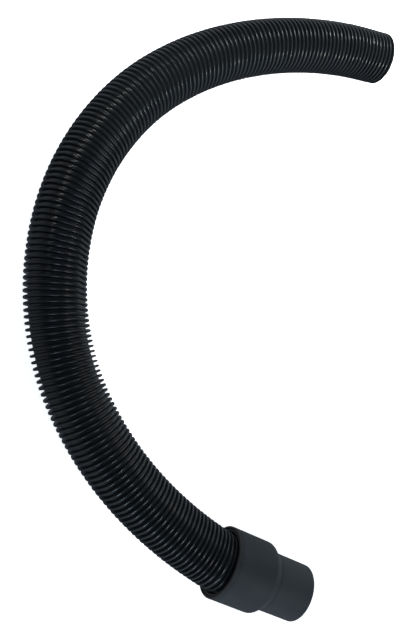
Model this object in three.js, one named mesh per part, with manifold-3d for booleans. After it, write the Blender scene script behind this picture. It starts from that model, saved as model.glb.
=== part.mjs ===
// A short length of spiral-ribbed pool vacuum hose, laid in a C, with a swivel cuff on one end.
// Units are millimetres, +Z is up and the hose lies on the plane z = 0.

import * as THREE from "three";
import * as BufferGeometryUtils from "three/addons/utils/BufferGeometryUtils.js";
import Module from "manifold-3d";

const wasm = await Module();
wasm.setup();

// ---- Driving dimensions ----------------------------------------------------------------------

const boreRadius = 19.05;            // 1-1/2 in nominal bore, in the hose and in the cuff's spigot
const hoseRadius = 23.25;            // over the ribs
const clearance = 0.3;               // between pieces that touch on the real object

// The hose is a tube with a 12-sided section of the same area as the round one.
const sectionSides = 12;
const sameArea = Math.sqrt(2 * Math.PI / (sectionSides * Math.sin(2 * Math.PI / sectionSides)));
const sectionRadius = hoseRadius * sameArea;
const sectionBore = boreRadius * sameArea;
const restHeight = hoseRadius;       // of the hose's axis, above the plane it lies on
const tubeStep = 16;                 // along the hose

// The cuff lies along +X. Distances inside it are measured from the face of its wide mouth.
const bellRadius = 28.2;
const spigotRadius = 22.8;
const cuffLength = 76.8;
const cuffMouth = new THREE.Vector3(84.7, -236.2, bellRadius);
const cavityRadius = 25.9;           // inside the bell
const seatDepth = 34;                // from the mouth to the seal's seat
const collarFront = 3.2;
const collarLength = 27.8;
const hoseEndDepth = 29;             // how far the hose goes into the cuff
const turnedSides = 60;              // facets round each turned piece

// The middle of the hose, where its two solids meet and the bend joint stands.
const bendPoint = new THREE.Vector3(-137.6, -31, restHeight);
const bendDirection = new THREE.Vector3(0.09, -1, 0).normalize();   // along the hose there, to the cuff
const cutRadius = 28;                // of the upright cylinder that the two solids meet on
const cutGap = 0.5;
const cutSides = 96;

// Centreline of the hose, from its bare end to its end inside the cuff.
const route = [
  [64, 243.5, restHeight],
  [31.5, 228.9, restHeight],
  [-0.5, 210.6, restHeight],
  [-31, 188.8, restHeight],
  [-59, 163.9, restHeight],
  [-84, 136.1, restHeight],
  [-105, 106, restHeight],
  [-121.5, 73.8, restHeight],
  [-132.4, 40, restHeight],
  [-137.9, 4.8, restHeight],
  [-137.6, -31, restHeight],
  [-131.3, -65.8, restHeight],
  [-119.4, -99.3, restHeight],
  [-102.1, -130.4, restHeight],
  [-79.8, -158, restHeight],
  [-53, -181.3, restHeight],
  [-23, -200.7, restHeight],
  [9, -215.8, 23.4],
  [42, -227, 24.8],
  [71, -233.8, 26.9],
  [86.5, cuffMouth.y, bellRadius],
  [102.5, cuffMouth.y, bellRadius],
  [cuffMouth.x + hoseEndDepth, cuffMouth.y, bellRadius],
].map(([x, y, z]) => new THREE.Vector3(x, y, z));

// ---- Materials -------------------------------------------------------------------------------

function hoseMaterial() {
  return new THREE.MeshStandardMaterial({ color: 0x14171a, roughness: 0.38, metalness: 0 });
}

function cuffMaterial() {
  return new THREE.MeshStandardMaterial({ color: 0x2a2f33, roughness: 0.62, metalness: 0 });
}

function collarMaterial() {
  return new THREE.MeshStandardMaterial({ color: 0x1b1c1e, roughness: 0.5, metalness: 0 });
}

function ringMaterial() {
  return new THREE.MeshStandardMaterial({ color: 0x2b2523, roughness: 0.5, metalness: 0 });
}

function sealMaterial() {
  return new THREE.MeshStandardMaterial({ color: 0x0d0d0e, roughness: 0.85, metalness: 0 });
}

// ---- Solids ----------------------------------------------------------------------------------

// Merges a geometry's shared vertices and turns it into a solid for cutting.
function toSolid(geometry) {
  const bare = geometry.clone();
  bare.deleteAttribute("normal");
  bare.deleteAttribute("uv");
  const merged = BufferGeometryUtils.mergeVertices(bare, 1e-4);
  return new wasm.Manifold(new wasm.Mesh({
    numProp: 3,
    vertProperties: new Float32Array(merged.attributes.position.array),
    triVerts: new Uint32Array(merged.index.array),
  }));
}

function toGeometry(solid) {
  const mesh = solid.getMesh();
  const geometry = new THREE.BufferGeometry();
  geometry.setAttribute("position", new THREE.BufferAttribute(mesh.vertProperties, 3));
  geometry.setIndex(new THREE.BufferAttribute(mesh.triVerts, 1));
  geometry.computeVertexNormals();
  return geometry;
}

function named(name, geometry, material) {
  const mesh = new THREE.Mesh(geometry, material);
  mesh.name = name;
  return mesh;
}

// A regular polygon with flats on its four sides, so that the tube lies on a flat.
function polygon(Outline, radius) {
  const outline = new Outline();
  for (let side = 0; side < sectionSides; side += 1) {
    const angle = (side + 0.5) / sectionSides * 2 * Math.PI;
    const corner = [radius * Math.cos(angle), radius * Math.sin(angle)];
    if (side === 0) {
      outline.moveTo(...corner);
    } else {
      outline.lineTo(...corner);
    }
  }
  outline.closePath();
  return outline;
}

// The hose as one hollow tube along its whole centreline.
function hoseTube() {
  const curve = new THREE.CatmullRomCurve3(route, false, "centripetal");
  const section = polygon(THREE.Shape, sectionRadius);
  section.holes.push(polygon(THREE.Path, sectionBore));
  return toSolid(new THREE.ExtrudeGeometry(section, {
    steps: Math.round(curve.getLength() / tubeStep),
    extrudePath: curve,
    bevelEnabled: false,
  }));
}

// An upright cylinder about the bend joint.
function bendCylinder(radius) {
  const cylinder = new THREE.CylinderGeometry(radius, radius, 4 * hoseRadius, cutSides);
  cylinder.rotateX(Math.PI / 2);
  cylinder.translate(bendPoint.x, bendPoint.y, bendPoint.z);
  return toSolid(cylinder);
}

// Everything on the cuff's side of the bend joint.
function cuffSide() {
  const size = 1000;
  const block = new THREE.BoxGeometry(size, size, size);
  block.translate(0, size / 2, 0);
  block.rotateZ(Math.atan2(-bendDirection.x, bendDirection.y));
  block.translate(bendPoint.x, bendPoint.y, bendPoint.z);
  return toSolid(block);
}

// The bare-end half finishes in a face that is round about the joint.
function freeHalf(tube) {
  return toGeometry(tube.subtract(cuffSide().subtract(bendCylinder(cutRadius))));
}

// The cuff half finishes in the matching hollow face, so that the halves turn without touching.
function cuffHalf(tube) {
  return toGeometry(tube.intersect(cuffSide()).subtract(bendCylinder(cutRadius + cutGap)));
}

// ---- Turned pieces of the swivel cuff --------------------------------------------------------

// Turns an outline of [distance from the mouth, radius] points about the cuff's axis.
function turned(outline) {
  const points = outline.map(([depth, radius]) => new THREE.Vector2(radius, depth));
  points.push(points[0].clone());
  const geometry = new THREE.LatheGeometry(points, turnedSides);
  geometry.rotateZ(-Math.PI / 2);
  geometry.translate(cuffMouth.x, cuffMouth.y, cuffMouth.z);
  return toGeometry(toSolid(geometry));
}

// Points of a round corner, as [depth, radius], from one angle in degrees to another.
function arc(depth, radius, size, from, to, steps) {
  const points = [];
  for (let step = 0; step <= steps; step += 1) {
    const angle = THREE.MathUtils.degToRad(from + (to - from) * step / steps);
    points.push([depth + size * Math.cos(angle), radius + size * Math.sin(angle)]);
  }
  return points;
}

// The outer moulding: a bell over the hose end, a rounded shoulder and a slimmer spigot.
function cuffOutline() {
  const lip = 1;
  const shoulder = 5;
  const fillet = 3;
  const shoulderStart = 34.7;
  const filletStart = 45;
  const slope = 56;                  // degrees, where the two arcs meet the straight between them
  const rim = 1.4;
  const edge = 0.6;
  const boreStart = 44.8;
  const ledge = 1.5;                 // depth of the seal's seat, behind the cavity
  const throatRadius = 23;           // inside that seat
  const grooveDepth = 0.8;           // of the retaining ring's groove
  const grooveWidth = 2.4;
  return [
    ...arc(lip, bellRadius - lip, lip, 180, 90, 3),
    ...arc(shoulderStart, bellRadius - shoulder, shoulder, 90, slope, 4),
    ...arc(filletStart, spigotRadius + fillet, fillet, 180 + slope, 270, 3),
    ...arc(cuffLength - rim, spigotRadius - rim, rim, 90, 0, 3),
    [cuffLength, boreRadius + edge],
    [cuffLength - edge, boreRadius],
    [boreStart, boreRadius],
    [seatDepth + ledge, throatRadius],
    [seatDepth, throatRadius],
    [seatDepth, cavityRadius],
    [collarFront, cavityRadius],
    [collarFront, cavityRadius + grooveDepth],
    [collarFront - grooveWidth, cavityRadius + grooveDepth],
    [collarFront - grooveWidth, cavityRadius],
    [edge, cavityRadius],
    [0, cavityRadius + edge],
  ];
}

// The sleeve on the hose's end: two bearing lands and an inner stop for the hose.
function collarOutline() {
  const land = cavityRadius - clearance;
  const sleeve = land - 0.5;
  const inside = sectionRadius + clearance;
  const stop = boreRadius + 1;       // inside the ledge that the hose end butts against
  const back = collarFront + collarLength;
  const landWidth = 3;
  return [
    [collarFront, inside],
    [collarFront, land],
    [collarFront + landWidth, land],
    [collarFront + landWidth, sleeve],
    [back - landWidth, sleeve],
    [back - landWidth, land],
    [back, land],
    [back, stop],
    [hoseEndDepth + clearance, stop],
    [hoseEndDepth + clearance, inside],
  ];
}

// A flat rubber washer between the collar and the cuff's shoulder.
function sealOutline() {
  const front = collarFront + collarLength + clearance;
  const back = seatDepth - clearance;
  const inside = 21;
  const outside = cavityRadius - 2 * clearance;
  const edge = 0.6;
  return [
    [front, inside + edge],
    [front, outside - edge],
    [front + edge, outside],
    [back - edge, outside],
    [back, outside - edge],
    [back, inside + edge],
    [back - edge, inside],
    [front + edge, inside],
  ];
}

// A split flat ring that springs into the groove inside the mouth.
function retainingRing() {
  const inner = sectionRadius + 2 * clearance;
  const outer = cavityRadius + 0.5;
  const thickness = 1.8;
  const halfSplit = THREE.MathUtils.degToRad(7);
  const shape = new THREE.Shape();
  shape.absarc(0, 0, outer, halfSplit, 2 * Math.PI - halfSplit, false);
  shape.absarc(0, 0, inner, 2 * Math.PI - halfSplit, halfSplit, true);
  shape.closePath();
  const geometry = new THREE.ExtrudeGeometry(shape, {
    depth: thickness,
    bevelEnabled: false,
    curveSegments: 28,
  });
  geometry.rotateY(Math.PI / 2);
  geometry.translate(cuffMouth.x + collarFront - clearance - thickness, cuffMouth.y, cuffMouth.z);
  return geometry;
}

// ---- Assembly --------------------------------------------------------------------------------

const tube = hoseTube();
const vacuumHose = new THREE.Group();
vacuumHose.add(
  named("hose_bare_half", freeHalf(tube), hoseMaterial()),
  named("hose_cuff_half", cuffHalf(tube), hoseMaterial()),
  named("threaded_collar", turned(collarOutline()), collarMaterial()),
  named("swivel_cuff", turned(cuffOutline()), cuffMaterial()),
  named("retaining_ring", retainingRing(), ringMaterial()),
  named("seal_washer", turned(sealOutline()), sealMaterial()),
);

export default vacuumHose;
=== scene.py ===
import math

import bpy
import numpy as np
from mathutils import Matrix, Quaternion, Vector


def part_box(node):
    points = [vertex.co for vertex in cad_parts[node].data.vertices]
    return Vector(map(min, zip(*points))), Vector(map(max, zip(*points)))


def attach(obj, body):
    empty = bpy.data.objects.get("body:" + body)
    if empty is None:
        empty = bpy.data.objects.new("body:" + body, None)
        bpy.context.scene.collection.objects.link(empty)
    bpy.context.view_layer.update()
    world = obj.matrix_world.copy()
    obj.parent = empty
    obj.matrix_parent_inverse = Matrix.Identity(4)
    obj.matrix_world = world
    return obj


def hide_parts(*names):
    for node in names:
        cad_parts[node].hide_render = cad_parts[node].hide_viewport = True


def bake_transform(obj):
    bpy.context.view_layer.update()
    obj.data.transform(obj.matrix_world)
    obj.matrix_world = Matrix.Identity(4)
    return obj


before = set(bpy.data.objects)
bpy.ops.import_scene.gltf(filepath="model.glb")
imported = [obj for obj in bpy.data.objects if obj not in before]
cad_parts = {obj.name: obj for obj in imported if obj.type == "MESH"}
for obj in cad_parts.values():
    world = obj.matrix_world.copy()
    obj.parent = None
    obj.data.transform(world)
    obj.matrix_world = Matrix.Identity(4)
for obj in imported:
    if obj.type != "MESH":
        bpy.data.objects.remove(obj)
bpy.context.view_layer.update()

# A short length of spiral-ribbed vacuum hose, laid in a C, with a swivel cuff on one end.

# ---- Driving dimensions, in metres --------------------------------------------------------------

MM = 0.001
BORE_RADIUS = 19.05 * MM
HOSE_RADIUS = 23.25 * MM         # over the ribs
VALLEY_RADIUS = 19.85 * MM       # between the ribs
AXIS_HEIGHT = HOSE_RADIUS        # of the hose where it lies on the floor

cuff_low, cuff_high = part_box("swivel_cuff")
CUFF_MOUTH = cuff_low.x
CUFF_LENGTH = cuff_high.x - cuff_low.x
CUFF_AXIS_Y = (cuff_low.y + cuff_high.y) / 2
BELL_RADIUS = (cuff_high.z - cuff_low.z) / 2
SPIGOT_RADIUS = 22.8 * MM
CAVITY_RADIUS = 25.9 * MM        # inside the bell
SEAT_DEPTH = 34 * MM             # depths are measured from the mouth
BORE_START = 44.8 * MM
COLLAR_FRONT = 3.2 * MM
COLLAR_LENGTH = 27.8 * MM
HOSE_END_DEPTH = 29 * MM

# Centreline of the hose, from its bare end to its end inside the cuff.
ROUTE = [
    (0.0640, 0.2435, AXIS_HEIGHT),
    (0.0315, 0.2289, AXIS_HEIGHT),
    (-0.0005, 0.2106, AXIS_HEIGHT),
    (-0.0310, 0.1888, AXIS_HEIGHT),
    (-0.0590, 0.1639, AXIS_HEIGHT),
    (-0.0840, 0.1361, AXIS_HEIGHT),
    (-0.1050, 0.1060, AXIS_HEIGHT),
    (-0.1215, 0.0738, AXIS_HEIGHT),
    (-0.1324, 0.0400, AXIS_HEIGHT),
    (-0.1379, 0.0048, AXIS_HEIGHT),
    (-0.1376, -0.0310, AXIS_HEIGHT),
    (-0.1313, -0.0658, AXIS_HEIGHT),
    (-0.1194, -0.0993, AXIS_HEIGHT),
    (-0.1021, -0.1304, AXIS_HEIGHT),
    (-0.0798, -0.1580, AXIS_HEIGHT),
    (-0.0530, -0.1813, AXIS_HEIGHT),
    (-0.0230, -0.2007, AXIS_HEIGHT),
    (0.0090, -0.2158, 0.0234),
    (0.0420, -0.2270, 0.0248),
    (0.0710, -0.2338, 0.0269),
    (0.0865, CUFF_AXIS_Y, BELL_RADIUS),
    (0.1025, CUFF_AXIS_Y, BELL_RADIUS),
    (CUFF_MOUTH + HOSE_END_DEPTH, CUFF_AXIS_Y, BELL_RADIUS),
]

# The one spiral rib, which winds left-handed. Bending the hose opens its pitch and leans its
# turns over, so both change along the hose.
PITCH = [                        # (distance from the bare end in metres, pitch in millimetres)
    (0, 3.83),
    (0.06, 4.08),
    (0.15, 4.43),
    (0.24, 4.53),
    (0.36, 4.43),
    (0.45, 4.31),
    (0.54, 4.22),
    (0.62, 4.22),
    (0.724, 3.64),
]
RIB_START = 0.44                 # part of a turn that the whole rib is screwed back by
LEAN = [                         # (distance from the bare end in metres, degrees)
    (0.06, 0),
    (0.10, 1.3),
    (0.20, 2.2),
    (0.29, 0.6),
    (0.36, 1.2),
    (0.44, 2.0),
    (0.51, -1.2),
    (0.56, -2.2),
    (0.65, -3.4),
]

# One turn of the rib and its valley: place along the hose as a part of the pitch, and height
# above the valley as a part of the rib's height.
RIB_OUTLINE = [
    (-0.50, 0.00),
    (-0.31, 0.00),
    (-0.255, 0.08),
    (-0.22, 0.72),
    (-0.17, 0.93),
    (-0.08, 1.00),
    (0.08, 1.00),
    (0.17, 0.93),
    (0.22, 0.72),
    (0.255, 0.08),
    (0.31, 0.00),
]
AROUND = 48                      # facets round the hose

GRAIN_DEPTH = 0.2 * MM           # of every plastic's fine surface grain


# ---- Camera, light and floor --------------------------------------------------------------------

def add_camera():
    """Looks down steeply from outside the lower bend, rolled so that the C stands upright."""
    place = Vector((-0.2085, -0.2364, 0.5523))
    target = Vector((0.0029, -0.0672, 0.023))
    roll = math.radians(76.6)
    camera_data = bpy.data.cameras.new("camera")
    camera_data.sensor_width = 36
    camera_data.lens = 41.64
    camera = bpy.data.objects.new("camera", camera_data)
    facing = (target - place).to_track_quat("-Z", "Y")
    camera.rotation_mode = "QUATERNION"
    camera.rotation_quaternion = facing @ Quaternion((0, 0, 1), roll)
    camera.location = place
    bpy.context.scene.collection.objects.link(camera)
    bpy.context.scene.camera = camera


def add_lamp(name, place, target, spread, width, power, colour):
    """A square soft lamp that faces a target, with its light fading out at half of spread, an
    angle in degrees."""
    lamp_data = bpy.data.lights.new(name, "AREA")
    lamp_data.size = width
    lamp_data.spread = math.radians(spread)
    lamp_data.energy = power
    lamp_data.color = colour
    lamp = bpy.data.objects.new(name, lamp_data)
    lamp.location = place
    lamp.rotation_mode = "QUATERNION"
    lamp.rotation_quaternion = (target - Vector(place)).to_track_quat("-Z", "Y")
    bpy.context.scene.collection.objects.link(lamp)


def add_surround():
    """Soft light from all round, brightest near the horizon and half as bright on the side where
    someone stands."""
    below, horizon, above = (0.10, 0.12, 0.15, 1), (0.80, 0.86, 0.92, 1), (0.18, 0.22, 0.26, 1)
    someone, dimmed = (-0.87, -0.42, 0.26), 0.5
    rim, middle = 0.45, 0.9      # of the dimmed patch, as cosines of the angle to that someone
    world = bpy.data.worlds.new("studio")
    world.use_nodes = True
    tree = world.node_tree
    background = tree.nodes["Background"]

    # The ramp runs from straight down at 0 to straight up at 1.
    direction, height = add_place(tree, "Generated", "Z")
    ramp = tree.nodes.new("ShaderNodeValToRGB")
    tree.links.new(add_range(tree, height, 0, 1, -1, 1), ramp.inputs["Fac"])
    tree.links.new(ramp.outputs["Color"], background.inputs["Color"])
    stops = ramp.color_ramp.elements
    stops[0].position = 0.1
    stops[0].color = below
    stops[1].position = 0.7
    stops[1].color = above
    stops.new(0.45).color = horizon

    toward = tree.nodes.new("ShaderNodeVectorMath")
    toward.operation = "DOT_PRODUCT"
    toward.inputs[1].default_value = someone
    tree.links.new(direction, toward.inputs[0])
    strength = add_range(tree, toward.outputs["Value"], 1, dimmed, rim, middle)
    tree.links.new(strength, background.inputs["Strength"])
    bpy.context.scene.world = world


def add_light():
    """Six lamps, each aimed at a stretch of the hose, and the surround."""
    white, sky = (1, 0.98, 0.96), (0.62, 0.82, 1)
    bare_end, outer_bend = Vector(ROUTE[0]), Vector(ROUTE[7])
    lower_bend, lower_end, cuff_end = Vector(ROUTE[14]), Vector(ROUTE[15]), Vector(ROUTE[19])
    # name, place, target, spread, width, power, colour
    add_lamp("lamp_right", (0.533, -0.413, 0.63), bare_end, 46, 0.12, 0.71, white)
    add_lamp("lamp_cuff", (0.496, -0.558, 0.588), lower_end, 28, 0.20, 0.09, white)
    add_lamp("lamp_back", (-0.059, 0.539, 0.633), bare_end, 42, 0.12, 0.30, white)
    add_lamp("lamp_left", (-0.87, 0.08, 0.70), outer_bend, 18, 0.14, 0.067, white)
    add_lamp("lamp_window", (0.20, -1.14, 0.27), lower_bend, 28, 0.30, 0.14, sky)
    add_lamp("lamp_inside", (0.22, 0.29, 0.42), cuff_end, 50, 0.50, 0.17, white)
    add_surround()
    bpy.context.scene.view_settings.view_transform = "Standard"


def floor_mesh():
    """A round floor that curves up into a wall all round."""
    flat, bend, top = 2.0, 1.5, 4.0          # radius of the flat, radius of the bend, height
    sides = 64
    outline = [(flat, 0)]
    for angle in np.radians(np.linspace(10, 90, 9)):
        outline.append((flat + bend * math.sin(angle), bend * (1 - math.cos(angle))))
    outline.append((flat + bend, top))
    points = []
    for radius, height in outline:
        for angle in np.arange(sides) * 2 * math.pi / sides:
            points.append((radius * math.cos(angle), radius * math.sin(angle), height))
    faces = [tuple(range(sides))]
    for ring in range(len(outline) - 1):
        for side in range(sides):
            here, beside = ring * sides + side, ring * sides + (side + 1) % sides
            faces.append((here, beside, beside + sides, here + sides))
    mesh = bpy.data.meshes.new("floor")
    mesh.from_pydata(points, [], faces)
    return mesh


def floor_material():
    """White that glows a little, so that shadows on it stay faint."""
    material, _, shader = new_material("floor")
    shader.inputs["Base Color"].default_value = (0.95, 0.95, 0.95, 1)
    shader.inputs["Roughness"].default_value = 0.9
    shader.inputs["Emission Color"].default_value = (1, 1, 1, 1)
    shader.inputs["Emission Strength"].default_value = 0.85
    return material


def add_floor():
    """The floor, which lights no piece and is mirrored by none."""
    mesh = floor_mesh()
    mesh.materials.append(floor_material())
    floor = bpy.data.objects.new("floor", mesh)
    floor.visible_diffuse = False
    floor.visible_glossy = False
    floor.visible_shadow = False
    bpy.context.scene.collection.objects.link(floor)


# ---- Materials ----------------------------------------------------------------------------------

def new_material(name):
    """A new material, its node tree and its shader."""
    material = bpy.data.materials.new(name)
    material.use_nodes = True
    return material, material.node_tree, material.node_tree.nodes["Principled BSDF"]


def add_place(tree, coordinates, axis):
    """The place on a surface, or the direction in a world, and one of its coordinates."""
    place = tree.nodes.new("ShaderNodeTexCoord")
    split = tree.nodes.new("ShaderNodeSeparateXYZ")
    tree.links.new(place.outputs[coordinates], split.inputs["Vector"])
    return place.outputs[coordinates], split.outputs[axis]


def add_noise(tree, scale, detail=4.0):
    """Noise with about so many patches to a metre, mostly between 0.3 and 0.7."""
    place = tree.nodes.new("ShaderNodeTexCoord")
    noise = tree.nodes.new("ShaderNodeTexNoise")
    noise.inputs["Scale"].default_value = scale
    noise.inputs["Detail"].default_value = detail
    tree.links.new(place.outputs["Object"], noise.inputs["Vector"])
    return noise.outputs["Fac"]


def add_attribute(tree, name):
    """A value that the mesh holds at each point."""
    attribute = tree.nodes.new("ShaderNodeAttribute")
    attribute.attribute_name = name
    return attribute.outputs["Fac"]


def add_range(tree, value, low, high, from_low=0.3, from_high=0.7):
    """Runs from low to high as the value goes from from_low to from_high, and holds beyond. The
    usual ends suit noise."""
    mapped = tree.nodes.new("ShaderNodeMapRange")
    mapped.inputs["From Min"].default_value = from_low
    mapped.inputs["From Max"].default_value = from_high
    mapped.inputs["To Min"].default_value = low
    mapped.inputs["To Max"].default_value = high
    tree.links.new(value, mapped.inputs["Value"])
    return mapped.outputs["Result"]


def add_mix(tree, factor, first, second):
    """Mixes two colours, each one a colour or another node's output."""
    mix = tree.nodes.new("ShaderNodeMix")
    mix.data_type = "RGBA"
    tree.links.new(factor, mix.inputs["Factor"])
    for socket, colour in ((mix.inputs["A"], first), (mix.inputs["B"], second)):
        if isinstance(colour, tuple):
            socket.default_value = (*colour, 1)
        else:
            tree.links.new(colour, socket)
    return mix.outputs["Result"]


def add_roughness(tree, shader, scale, low, high):
    """Roughness that changes in patches between two values."""
    roughness = add_range(tree, add_noise(tree, scale), low, high)
    tree.links.new(roughness, shader.inputs["Roughness"])


def add_grain(tree, shader, scale, strength, detail=4.0):
    """A fine grain, as bump."""
    bump = tree.nodes.new("ShaderNodeBump")
    bump.inputs["Strength"].default_value = strength
    bump.inputs["Distance"].default_value = GRAIN_DEPTH
    tree.links.new(add_noise(tree, scale, detail), bump.inputs["Height"])
    tree.links.new(bump.outputs["Normal"], shader.inputs["Normal"])


def hose_material():
    """Black flexible plastic, paler at both ends, with painted light that lifts its valleys'
    shade.
    """
    crest_dark, crest_light = (0.0030, 0.0042, 0.0050), (0.0055, 0.0068, 0.0078)
    crest_at_bare_end, crest_at_cuff = (0.0100, 0.0120, 0.0138), (0.0110, 0.0132, 0.0150)
    # The valleys' colours are lighter than the crests': painted light that lifts the shade in the
    # valleys, most near both ends.
    valley_painted_light_middle = (0.0140, 0.0170, 0.0190)
    valley_painted_light_bare_end, valley_painted_light_cuff = (0.0270, 0.0325, 0.0365), (0.0340, 0.0395, 0.0440)

    material, tree, shader = new_material("hose_plastic")
    from_bare_end = add_attribute(tree, "from_bare_end")
    near_bare_end = add_range(tree, from_bare_end, 1, 0, 0.08, 0.34)
    near_cuff = add_range(tree, from_bare_end, 0, 1, 0.50, 0.68)
    patches = add_range(tree, add_noise(tree, 30), 0, 1)
    crest = add_mix(tree, patches, crest_dark, crest_light)
    crest = add_mix(tree, near_bare_end, crest, crest_at_bare_end)
    crest = add_mix(tree, near_cuff, crest, crest_at_cuff)
    # Painted light in the valleys, stronger near both ends.
    valley = add_mix(tree, near_bare_end, valley_painted_light_middle, valley_painted_light_bare_end)
    valley = add_mix(tree, near_cuff, valley, valley_painted_light_cuff)
    colour = add_mix(tree, add_attribute(tree, "crest"), valley, crest)
    tree.links.new(colour, shader.inputs["Base Color"])
    shader.inputs["Specular IOR Level"].default_value = 0.3
    add_roughness(tree, shader, 60, 0.22, 0.24)
    add_grain(tree, shader, 900, strength=0.03)
    return material


def cuff_material():
    """Matte dark grey moulding with a fine grain, with painted shade in and round its mouth and in
    the step between bell and spigot, paler all along the spigot, and a little brown painted light
    on the mouth's face."""
    clean_dark, clean_light = (0.0237, 0.0294, 0.0347), (0.0309, 0.0366, 0.0418)
    # Painted shade: one colour for in and round the mouth, one for the step between bell and
    # spigot.
    painted_mouth_shade, painted_step_shade = (0.0120, 0.0145, 0.0170), (0.0205, 0.0250, 0.0295)
    # The spigot's paler colour, and painted light for the mouth's face.
    paler_spigot_colour, painted_face_light = (0.0366, 0.0432, 0.0499), (0.0560, 0.0530, 0.0530)
    step = CUFF_MOUTH + 44.2 * MM
    painted_mouth_shade_end = CUFF_MOUTH + 6 * MM
    painted_face_light_start, painted_face_light_end = CUFF_MOUTH + 0.3 * MM, CUFF_MOUTH + 1.2 * MM

    material, tree, shader = new_material("cuff_plastic")
    _, along = add_place(tree, "Object", "X")
    patches = add_range(tree, add_noise(tree, 25), 0, 1)
    colour = add_mix(tree, patches, clean_dark, clean_light)
    # Painted shade: darker in and round the mouth, fading out 6 mm in.
    painted_shade_at_mouth = add_range(tree, along, 1, 0, CUFF_MOUTH, painted_mouth_shade_end)
    colour = add_mix(tree, painted_shade_at_mouth, colour, painted_mouth_shade)
    # Painted shade: a dark band in the step between bell and spigot.
    painted_shade_at_step = add_range(tree, along, 0, 1, step - 1 * MM, step)
    colour = add_mix(tree, painted_shade_at_step, colour, painted_step_shade)
    # Paler all along the spigot.
    paler_spigot = add_range(tree, along, 0, 1, step, step + 2 * MM)
    colour = add_mix(tree, paler_spigot, colour, paler_spigot_colour)
    # Painted light: the mouth's face paler and a little brown.
    painted_light_on_face = add_range(tree, along, 1, 0, painted_face_light_start, painted_face_light_end)
    colour = add_mix(tree, painted_light_on_face, colour, painted_face_light)
    tree.links.new(colour, shader.inputs["Base Color"])
    shader.inputs["Specular IOR Level"].default_value = 0.175
    add_roughness(tree, shader, 80, 0.56, 0.64)
    add_grain(tree, shader, 1500, strength=0.25, detail=2)
    return material


def plain_plastic(name, dark, light, roughness):
    """Plastic or rubber in patches of two colours, with a fine grain."""
    material, tree, shader = new_material(name)
    patches = add_range(tree, add_noise(tree, 120), 0, 1)
    tree.links.new(add_mix(tree, patches, dark, light), shader.inputs["Base Color"])
    spread = 0.08
    add_roughness(tree, shader, 90, roughness - spread, roughness + spread)
    add_grain(tree, shader, 1200, strength=0.2)
    return material


# ---- Centreline of the hose ---------------------------------------------------------------------

def smooth_curve(points):
    """Closely spaced points along a centripetal Catmull-Rom curve through the given ones."""
    points = np.array(points)
    before = 2 * points[0] - points[1]
    after = 2 * points[-1] - points[-2]
    points = np.vstack([before, points, after])
    spans = np.linalg.norm(np.diff(points, axis=0), axis=1) ** 0.5
    steps = 60
    t = np.linspace(0, 1, steps, endpoint=False)[:, None]
    curve = []
    for i in range(1, len(points) - 2):
        p0, p1, p2, p3 = points[i - 1 : i + 3]
        d0, d1, d2 = spans[i - 1 : i + 2]
        leave = d1 * ((p1 - p0) / d0 - (p2 - p0) / (d0 + d1) + (p2 - p1) / d1)
        arrive = d1 * ((p2 - p1) / d1 - (p3 - p1) / (d1 + d2) + (p3 - p2) / d2)
        straight = p1 + (p2 - p1) * (3 * t**2 - 2 * t**3)
        curve.append(straight + leave * (t**3 - 2 * t**2 + t) + arrive * (t**3 - t**2))
    curve.append(points[-2:-1])
    return np.vstack(curve)


def read_off(at, known_at, values):
    """Each column of values, which are known at some distances, read off at others."""
    return np.stack([np.interp(at, known_at, column) for column in values.T], axis=-1)


class Centreline:
    """The middle of the hose: its length, and its place and directions at any distance."""

    def __init__(self, route):
        self.points = smooth_curve(route)
        steps = np.linalg.norm(np.diff(self.points, axis=0), axis=1)
        self.distance = np.concatenate([[0], np.cumsum(steps)])
        self.length = float(self.distance[-1])
        self.ahead = np.gradient(self.points, self.distance, axis=0)

    def place(self, distance, angle, radius):
        """Points round the hose. The angle is 0 on top and grows towards its left side."""
        middle = read_off(distance, self.distance, self.points)
        ahead = read_off(distance, self.distance, self.ahead)
        left = np.cross((0, 0, 1), ahead)
        left /= np.linalg.norm(left, axis=-1, keepdims=True)
        up = np.cross(ahead, left)
        up /= np.linalg.norm(up, axis=-1, keepdims=True)
        outward = np.cos(angle)[..., None] * up + np.sin(angle)[..., None] * left
        return middle + radius[..., None] * outward


# ---- Hose ---------------------------------------------------------------------------------------

def angles_round():
    """The angles of the facets' edges."""
    return np.arange(AROUND) * 2 * math.pi / AROUND


def rib_height(turns):
    """Height of the ribbed surface, from 0 in a valley to 1 on a crest, after so many turns."""
    along, height = np.array(RIB_OUTLINE).T
    return np.interp(turns, along, height, period=1)


def ribbed_grid(line):
    """Rows of points that follow the rib round the hose: their distances from the bare end, held
    between its two cut ends, and their heights between valley and crest."""
    step, margin = 0.5 * MM, 20 * MM
    distance = np.arange(-margin, line.length + margin, step)
    pitch_at, pitch = np.array(PITCH).T
    turns = np.cumsum(step / (np.interp(distance, pitch_at, pitch) * MM)) - RIB_START
    first, last = int(turns[0]) + 1, int(turns[-1]) - 1
    rows = np.concatenate([turn + np.array(RIB_OUTLINE)[:, 0] for turn in range(first, last)])

    angle = angles_round()
    winding = angle / (2 * math.pi)
    square = np.interp(rows[:, None] + winding, turns, distance)
    lean_at, lean = np.array(LEAN).T
    slope = np.tan(np.radians(np.interp(square, lean_at, lean)))
    shift = HOSE_RADIUS * slope * np.sin(angle)
    along = np.clip(square + shift, 0, line.length)
    height = rib_height(np.interp(along - shift, distance, turns) - winding)
    return along, height


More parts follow.
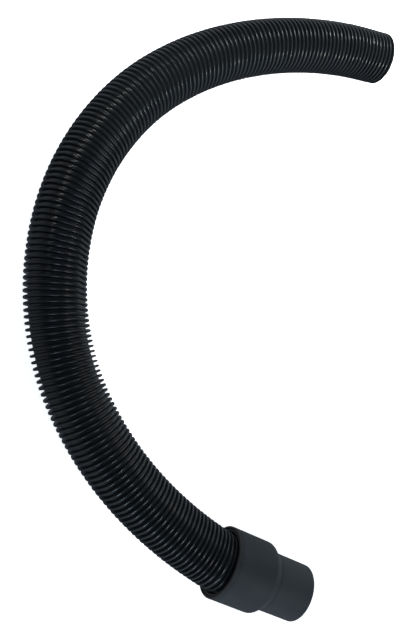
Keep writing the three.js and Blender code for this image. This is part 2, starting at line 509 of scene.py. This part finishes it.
def outer_faces(along, length):
    """Faces of the ribbed surface, as numbers of grid points. Every row past a cut end shares that
    end's one edge: row 0 at the bare end, the last row at the other."""
    last_row = len(along) - 1

    def number(row, column):
        if column == AROUND:
            row, column = min(row + len(RIB_OUTLINE), last_row), 0
        if along[row, column] <= 0:
            row = 0
        if along[row, column] >= length:
            row = last_row
        return row * AROUND + column

    faces = []
    for row in range(last_row):
        for column in range(AROUND):
            corners = (
                number(row, column),
                number(row + 1, column),
                number(row + 1, column + 1),
                number(row, column + 1),
            )
            corners = tuple(dict.fromkeys(corners))
            if len(corners) > 2:
                faces.append(corners)
    return faces


def inner_faces(first, rows):
    """Faces of the bore, whose points are numbered from first, row by row."""
    faces = []
    for row in range(rows - 1):
        for column in range(AROUND):
            here = first + row * AROUND
            beside = (column + 1) % AROUND
            faces.append((
                here + column,
                here + beside,
                here + AROUND + beside,
                here + AROUND + column,
            ))
    return faces


def end_faces(outer, inner, facing_ahead):
    """The flat ring between the outer edge and the bore at a cut end."""
    faces = []
    for column in range(AROUND):
        beside = (column + 1) % AROUND
        face = (outer + column, outer + beside, inner + beside, inner + column)
        faces.append(face[::-1] if facing_ahead else face)
    return faces


def bore_grid(line):
    """Rows of points round the bore: their distances from the bare end. The rows are closer
    together near both ends, where the bore can be seen."""
    fine, coarse, seen = 2 * MM, 8 * MM, 60 * MM
    near = np.arange(0, seen, fine)
    middle = np.arange(seen, line.length - seen, coarse)
    rows = np.concatenate([near, middle, line.length - near[::-1]])
    return np.repeat(rows[:, None], AROUND, axis=1)


def hose_mesh(line):
    """One closed body: the ribbed outside, a smooth bore, and a flat face at each end."""
    outer_along, height = ribbed_grid(line)
    bore_along = bore_grid(line)
    outer_radius = VALLEY_RADIUS + (HOSE_RADIUS - VALLEY_RADIUS) * height
    along = np.concatenate([outer_along, bore_along])
    radius = np.concatenate([outer_radius, np.full(bore_along.shape, BORE_RADIUS)])
    crest = np.concatenate([height, np.zeros(bore_along.shape)])
    angle = np.broadcast_to(angles_round(), along.shape)
    points = line.place(along, angle, radius).reshape(-1, 3)

    bore_first = outer_along.size
    faces = outer_faces(outer_along, line.length)
    faces += inner_faces(bore_first, len(bore_along))
    faces += end_faces(0, bore_first, facing_ahead=False)
    faces += end_faces(bore_first - AROUND, len(points) - AROUND, facing_ahead=True)

    # Points past the cut ends are on no face, so they are left out and the rest are renumbered.
    used, numbers = np.unique(np.concatenate(faces), return_inverse=True)
    numbers = iter(numbers.tolist())
    faces = [tuple(next(numbers) for _ in face) for face in faces]
    mesh = bpy.data.meshes.new("hose")
    mesh.from_pydata(points[used].tolist(), [], faces)
    for name, values in (("crest", crest), ("from_bare_end", along)):
        attribute = mesh.attributes.new(name, "FLOAT", "POINT")
        attribute.data.foreach_set("value", values.ravel()[used].astype(np.float32))
    return mesh


def build_hose():
    """The hose, as one curved piece where CAD has two halves and a hinge."""
    line = Centreline(ROUTE)
    mesh = hose_mesh(line)
    mesh.shade_smooth()
    mesh.set_sharp_from_angle(angle=math.radians(85))
    mesh.materials.append(hose_material())
    hose = bpy.data.objects.new("hose", mesh)
    bpy.context.scene.collection.objects.link(hose)

    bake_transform(hose)
    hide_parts("hose_bare_half", "hose_cuff_half")


# ---- Turned pieces of the swivel cuff -----------------------------------------------------------

def arc(depth, radius, size, start, stop, steps=8):
    """Outline points round a rounded edge, from one angle in degrees to another."""
    angles = np.radians(np.linspace(start, stop, steps + 1))
    return [(depth + size * math.cos(a), radius + size * math.sin(a)) for a in angles]


def rounded_ring(front, back, inside, outside, edge):
    """Outline of a flat ring with its four edges rounded."""
    return [
        *arc(front + edge, outside - edge, edge, 180, 90, 5),
        *arc(back - edge, outside - edge, edge, 90, 0, 5),
        *arc(back - edge, inside + edge, edge, 0, -90, 5),
        *arc(front + edge, inside + edge, edge, -90, -180, 5),
    ]


def turned_mesh(name, outline, sides, split):
    """Turns an outline of (depth from the mouth, radius) points round the cuff's axis. split is
    half the angle in degrees that a split ring is open by."""
    gap = math.radians(split)
    sweep = (2 * math.pi - 2 * gap) / sides
    rings = sides + 1 if split else sides
    count = len(outline)
    points = []
    for ring in range(rings):
        angle = gap + sweep * ring - math.pi / 2
        for depth, radius in outline:
            points.append((
                CUFF_MOUTH + depth,
                CUFF_AXIS_Y + radius * math.cos(angle),
                BELL_RADIUS + radius * math.sin(angle),
            ))
    faces = []
    for ring in range(sides):
        here = ring * count
        there = (ring + 1) % rings * count
        for i in range(count):
            j = (i + 1) % count
            faces.append((here + i, there + i, there + j, here + j))
    if split:
        faces.append(tuple(range(count)))
        faces.append(tuple(reversed(range(sides * count, rings * count))))
    mesh = bpy.data.meshes.new(name)
    mesh.from_pydata(points, [], faces)
    mesh.shade_smooth()
    mesh.set_sharp_from_angle(angle=math.radians(35))
    return mesh


def add_turned(node, outline, body, material, sides=120, split=0.0):
    """A turned piece that rides on a body and stands for a CAD node."""
    mesh = turned_mesh(node, outline, sides, split)
    mesh.materials.append(material)
    piece = bpy.data.objects.new(node + "_looks", mesh)
    bpy.context.scene.collection.objects.link(piece)
    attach(piece, body)
    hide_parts(node)


def build_cuff():
    """Bell, sloped step and spigot outside; bore, seal's seat, cavity and ring's groove inside."""
    lip, shoulder, fillet, rim, edge = 1 * MM, 5 * MM, 3 * MM, 1.4 * MM, 0.6 * MM
    shoulder_depth, fillet_depth = 34.7 * MM, 45 * MM
    slope = 56                   # degrees, where the two arcs of the step meet its straight slope
    throat, throat_end = 23 * MM, SEAT_DEPTH + 1.5 * MM
    groove_back, groove_front = COLLAR_FRONT, COLLAR_FRONT - 2.4 * MM
    groove_radius = CAVITY_RADIUS + 0.8 * MM
    outline = [
        *arc(lip, BELL_RADIUS - lip, lip, 180, 90),
        *arc(shoulder_depth, BELL_RADIUS - shoulder, shoulder, 90, slope, 12),
        *arc(fillet_depth, SPIGOT_RADIUS + fillet, fillet, 180 + slope, 270, 12),
        *arc(CUFF_LENGTH - rim, SPIGOT_RADIUS - rim, rim, 90, 0),
        *arc(CUFF_LENGTH - edge, BORE_RADIUS + edge, edge, 0, -90, 5),
        (BORE_START, BORE_RADIUS),
        (throat_end, throat),
        (SEAT_DEPTH, throat),
        (SEAT_DEPTH, CAVITY_RADIUS),
        (groove_back, CAVITY_RADIUS),
        (groove_back, groove_radius),
        (groove_front, groove_radius),
        (groove_front, CAVITY_RADIUS),
        *arc(edge, CAVITY_RADIUS + edge, edge, 270, 180, 5),
    ]
    add_turned("swivel_cuff", outline, "cuff", cuff_material(), sides=144)


def build_collar():
    """A sleeve over the hose's end, with a bearing land at each end and a stop for the hose."""
    front, back = COLLAR_FRONT, COLLAR_FRONT + COLLAR_LENGTH
    land, sleeve, inside = 25.6 * MM, 25.1 * MM, 24.09 * MM
    stop, stop_depth = BORE_RADIUS + 1 * MM, HOSE_END_DEPTH + 0.3 * MM
    land_width, edge = 3 * MM, 0.3 * MM
    outline = [
        *arc(front + edge, land - edge, edge, 180, 90, 4),
        (front + land_width, land),
        (front + land_width, sleeve),
        (back - land_width, sleeve),
        (back - land_width, land),
        *arc(back - edge, land - edge, edge, 90, 0, 4),
        (back, stop),
        (stop_depth, stop),
        (stop_depth, inside),
        (front, inside),
    ]
    material = plain_plastic("collar_plastic", (0.026, 0.028, 0.030), (0.036, 0.038, 0.040), 0.45)
    add_turned("threaded_collar", outline, "hose", material)


def build_seal():
    """A flat rubber washer between the collar and its seat in the cuff."""
    front, back, inside, outside = 31.3 * MM, 33.7 * MM, 21 * MM, 25.3 * MM
    outline = rounded_ring(front, back, inside, outside, edge=0.6 * MM)
    material = plain_plastic("seal_rubber", (0.006, 0.006, 0.006), (0.01, 0.01, 0.01), 0.75)
    add_turned("seal_washer", outline, "cuff", material)


def build_ring():
    """A flat split ring in the cuff's groove, which keeps the collar in."""
    front, back, inside, outside = 1.1 * MM, 2.9 * MM, 24.39 * MM, 26.4 * MM
    outline = rounded_ring(front, back, inside, outside, edge=0.35 * MM)
    # Its brownish tone is its own, but the colours are paler than that: painted light that lifts
    # the shade round the ring in the cuff's mouth.
    material = plain_plastic("ring_plastic", (0.070, 0.064, 0.061), (0.093, 0.085, 0.080), 0.5)
    add_turned("retaining_ring", outline, "cuff", material, split=7)


# ---- Scene --------------------------------------------------------------------------------------

add_camera()
build_hose()
build_cuff()
build_collar()
build_seal()
build_ring()
add_light()
add_floor()
